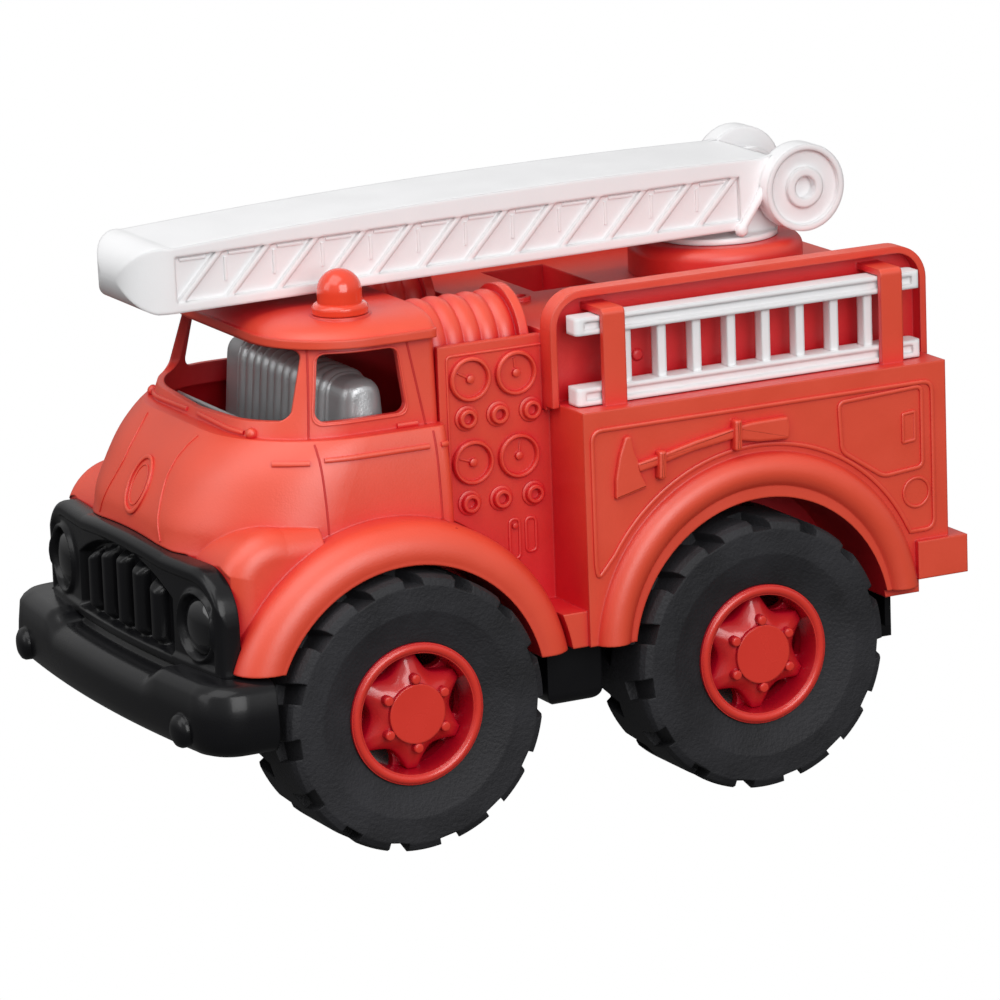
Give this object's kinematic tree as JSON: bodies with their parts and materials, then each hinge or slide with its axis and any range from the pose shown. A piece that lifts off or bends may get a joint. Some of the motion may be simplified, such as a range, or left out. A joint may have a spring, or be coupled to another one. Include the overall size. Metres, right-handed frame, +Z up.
{
  "type": "toy fire engine",
  "caption": "Moulded plastic toy fire engine with a turning, lifting ladder, slide-out side ladders, beacons, hose reels and lugged rolling wheels.",
  "frame": {"origin": "on the ground, under the middle of the overall box", "axes": "+Z up, the nose points along -Y, +X is the truck's left side"},
  "size_m": [0.1588, 0.2668, 0.1887],
  "materials": {
    "red_body": "satin coral red moulding",
    "red_gloss": "glossy red moulding",
    "black_plastic": "satin black moulding",
    "white_plastic": "satin white moulding",
    "silver_plastic": "silver grey moulding",
    "tyre": "matte charcoal",
    "steel": "plain steel rod"
  },
  "bodies": {
    "truck": {"chassis": "black_plastic", "front_bumper": "black_plastic", "grille": "black_plastic", "cab_shell": "red_body", "cab_interior": "silver_plastic", "rear_body": "red_body", "turntable_drum": "red_body", "beacon_left": "red_gloss", "beacon_right": "red_gloss", "hose_reel_left": "red_body", "hose_reel_right": "red_body"},
    "swing": {"turntable": "white_plastic"},
    "boom": {"main_ladder": "white_plastic"},
    "left_ladder": {"side_ladder_left": "white_plastic"},
    "right_ladder": {"side_ladder_right": "white_plastic"},
    "front_wheels": {"front_axle": "steel", "front_hub_left": "red_gloss", "front_hub_right": "red_gloss", "front_tyre_left": "tyre", "front_tyre_right": "tyre"},
    "rear_wheels": {"rear_axle": "steel", "rear_hub_left": "red_gloss", "rear_hub_right": "red_gloss", "rear_tyre_left": "tyre", "rear_tyre_right": "tyre"}
  },
  "joints": [
    {"name": "front_wheels_roll", "type": "hinge", "parent": "truck", "child": "front_wheels", "pos_m": [0, -0.061, 0.0427], "axis": [1, 0, 0], "continuous": true},
    {"name": "rear_wheels_roll", "type": "hinge", "parent": "truck", "child": "rear_wheels", "pos_m": [0, 0.0578, 0.0427], "axis": [1, 0, 0], "continuous": true},
    {"name": "ladder_swing", "type": "hinge", "parent": "truck", "child": "swing", "pos_m": [0, 0.0876, 0.1586], "axis": [0, 0, 1], "continuous": true},
    {"name": "ladder_lift", "type": "hinge", "parent": "swing", "child": "boom", "pos_m": [0, 0.1075, 0.1748], "axis": [-1, 0, 0], "range_deg": [0, 75]},
    {"name": "left_ladder_slide", "type": "slide", "parent": "truck", "child": "left_ladder", "axis": [0, 1, 0], "range_m": [0, 0.1]},
    {"name": "right_ladder_slide", "type": "slide", "parent": "truck", "child": "right_ladder", "axis": [0, 1, 0], "range_m": [0, 0.1]}
  ]
}
